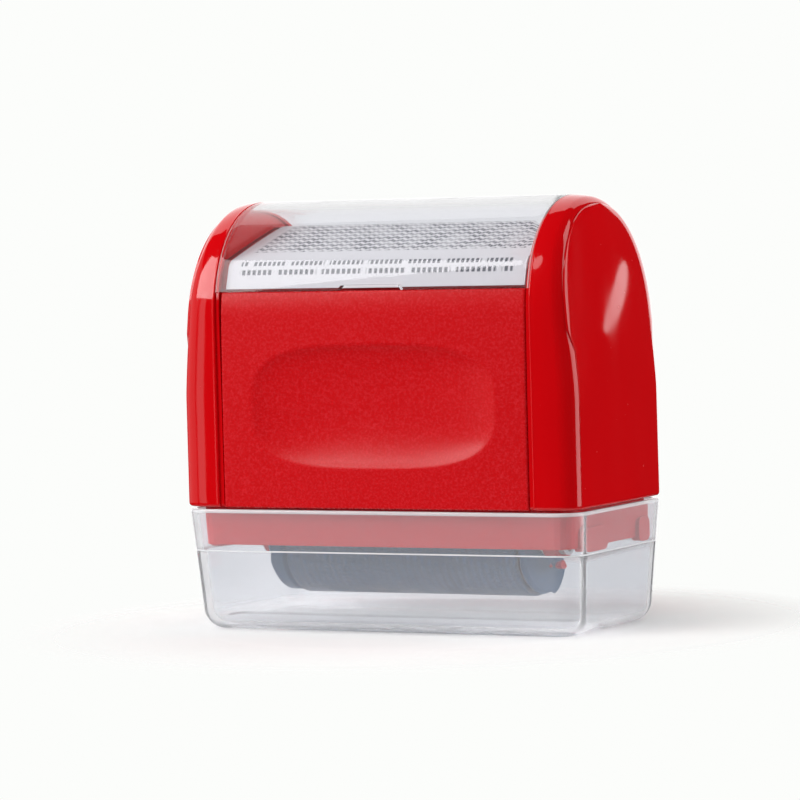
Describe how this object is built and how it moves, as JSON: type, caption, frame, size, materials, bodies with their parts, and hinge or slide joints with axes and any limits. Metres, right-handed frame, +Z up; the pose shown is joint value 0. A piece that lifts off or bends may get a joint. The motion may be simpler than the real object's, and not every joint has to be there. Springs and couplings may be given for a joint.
{
  "type": "privacy roller stamp",
  "caption": "Red self-inking privacy roller stamp, 62 x 30 x 60 mm, with a clear arched window over a card and a clear dust cap over its inked roller.",
  "frame": {"origin": "centre of the cap's foot, on the surface that the stamp stands on", "axes": "+X along the roller to the right, +Y to the back, +Z up; the front panel faces -Y"},
  "size_m": [0.062, 0.03, 0.06],
  "materials": {
    "gloss_red": "polished moulded ABS",
    "matte_red": "finely textured ABS",
    "frame_red": "plain moulded ABS",
    "clear_cap": "clear styrene, slightly grey",
    "clear_window": "clear, polished",
    "card_white": "white printed card",
    "dark_rubber": "ink-wet rubber",
    "ink_foam": "open-cell foam with ink",
    "dark_plastic": "moulded, satin",
    "pale_plastic": "natural acetal",
    "steel": "bright wire and spring steel"
  },
  "bodies": {
    "housing": {"hoop_left": "gloss_red", "hoop_right": "gloss_red", "end_plate_left": "gloss_red", "end_plate_right": "gloss_red", "front_panel": "matte_red", "rear_panel": "matte_red", "inner_shell": "frame_red", "index_card": "card_white", "frame": "frame_red", "bush_left": "pale_plastic", "bush_right": "pale_plastic"},
    "roller": {"axle": "steel", "roller_spool": "dark_plastic", "ink_foam": "ink_foam", "print_sleeve": "dark_rubber", "flange_left": "dark_plastic", "flange_right": "dark_plastic", "clip_left": "steel", "clip_right": "steel"},
    "window": {"window_cover": "clear_window"},
    "cap": {"dust_cap": "clear_cap"}
  },
  "joints": [
    {"name": "roller_spin", "type": "hinge", "parent": "housing", "child": "roller", "pos_m": [0, 0, 0.0125], "axis": [1, 0, 0], "continuous": true},
    {"name": "window_lift", "type": "slide", "parent": "housing", "child": "window", "axis": [0, 0, 1], "range_m": [0, 0.012]},
    {"name": "cap_slide", "type": "slide", "parent": "housing", "child": "cap", "axis": [0, 0, -1], "range_m": [0, 0.02]}
  ]
}
